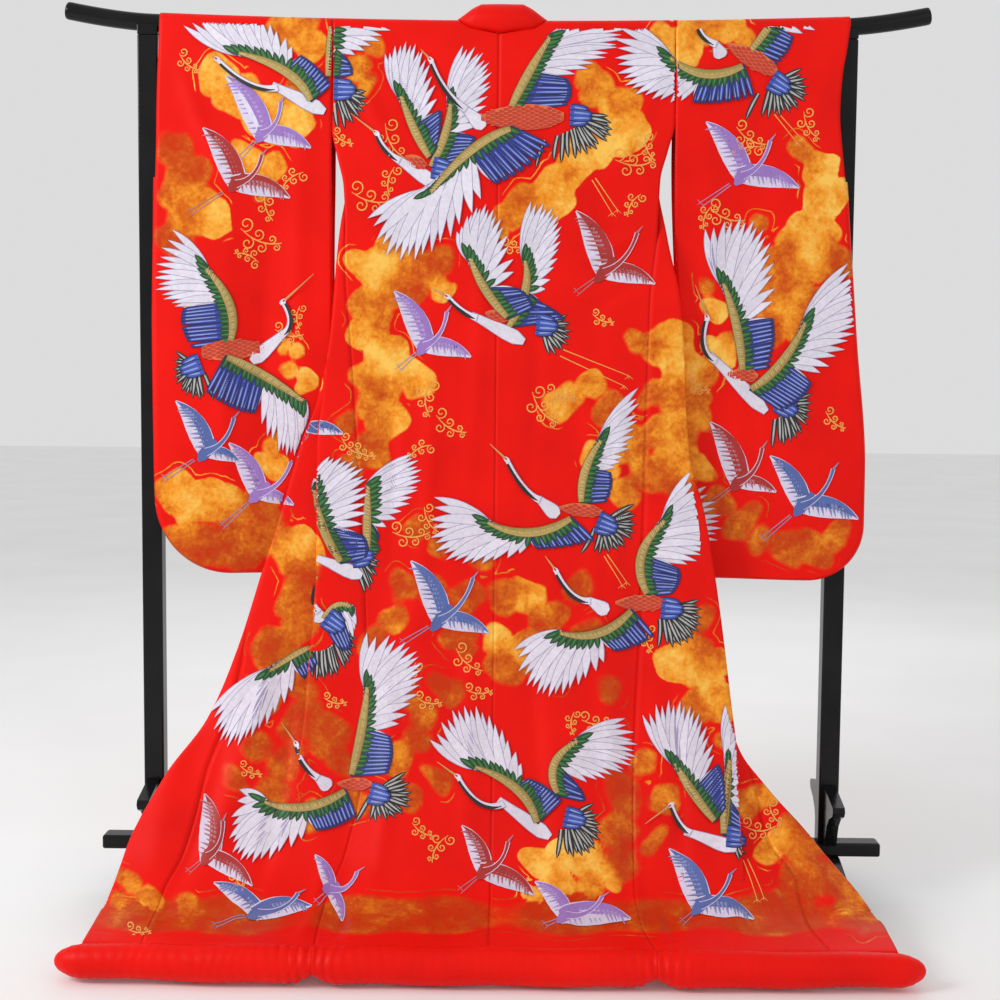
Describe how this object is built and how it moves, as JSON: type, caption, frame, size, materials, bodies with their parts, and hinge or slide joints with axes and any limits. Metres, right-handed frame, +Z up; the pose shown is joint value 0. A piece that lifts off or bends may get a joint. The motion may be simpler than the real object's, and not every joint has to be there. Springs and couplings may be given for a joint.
{
  "type": "uchikake wedding kimono on a lacquered kimono stand",
  "caption": "Full-length red wedding kimono with long open sleeves, standing collar and padded trailing hem, spread over the round bar of a black lacquered stand.",
  "frame": {"origin": "on the floor, in the middle of the whole footprint, halfway between the posts", "axes": "+Z up, -Y towards the outer back of the robe, +X to the right of someone who looks at it"},
  "size_m": [1.6864, 0.7398, 1.767],
  "materials": {
    "brocade": "red silk satin woven with cranes and golden clouds",
    "padded_lining": "plain red silk satin, padded",
    "lacquer": "glossy black lacquer"
  },
  "bodies": {
    "root": {"body_left": "brocade", "body_right": "brocade", "okumi_left": "brocade", "okumi_right": "brocade", "sleeve_left": "brocade", "sleeve_right": "brocade", "collar": "brocade", "hem_roll_left": "padded_lining", "hem_roll_back": "padded_lining", "hem_roll_right": "padded_lining", "top_bar": "lacquer", "lower_rail": "lacquer", "saddle_left": "lacquer", "saddle_right": "lacquer", "post_left": "lacquer", "post_right": "lacquer", "foot_left": "lacquer", "foot_right": "lacquer", "bracket_left_near": "lacquer", "bracket_left_far": "lacquer", "bracket_right_near": "lacquer", "bracket_right_far": "lacquer"}
  },
  "joints": []
}
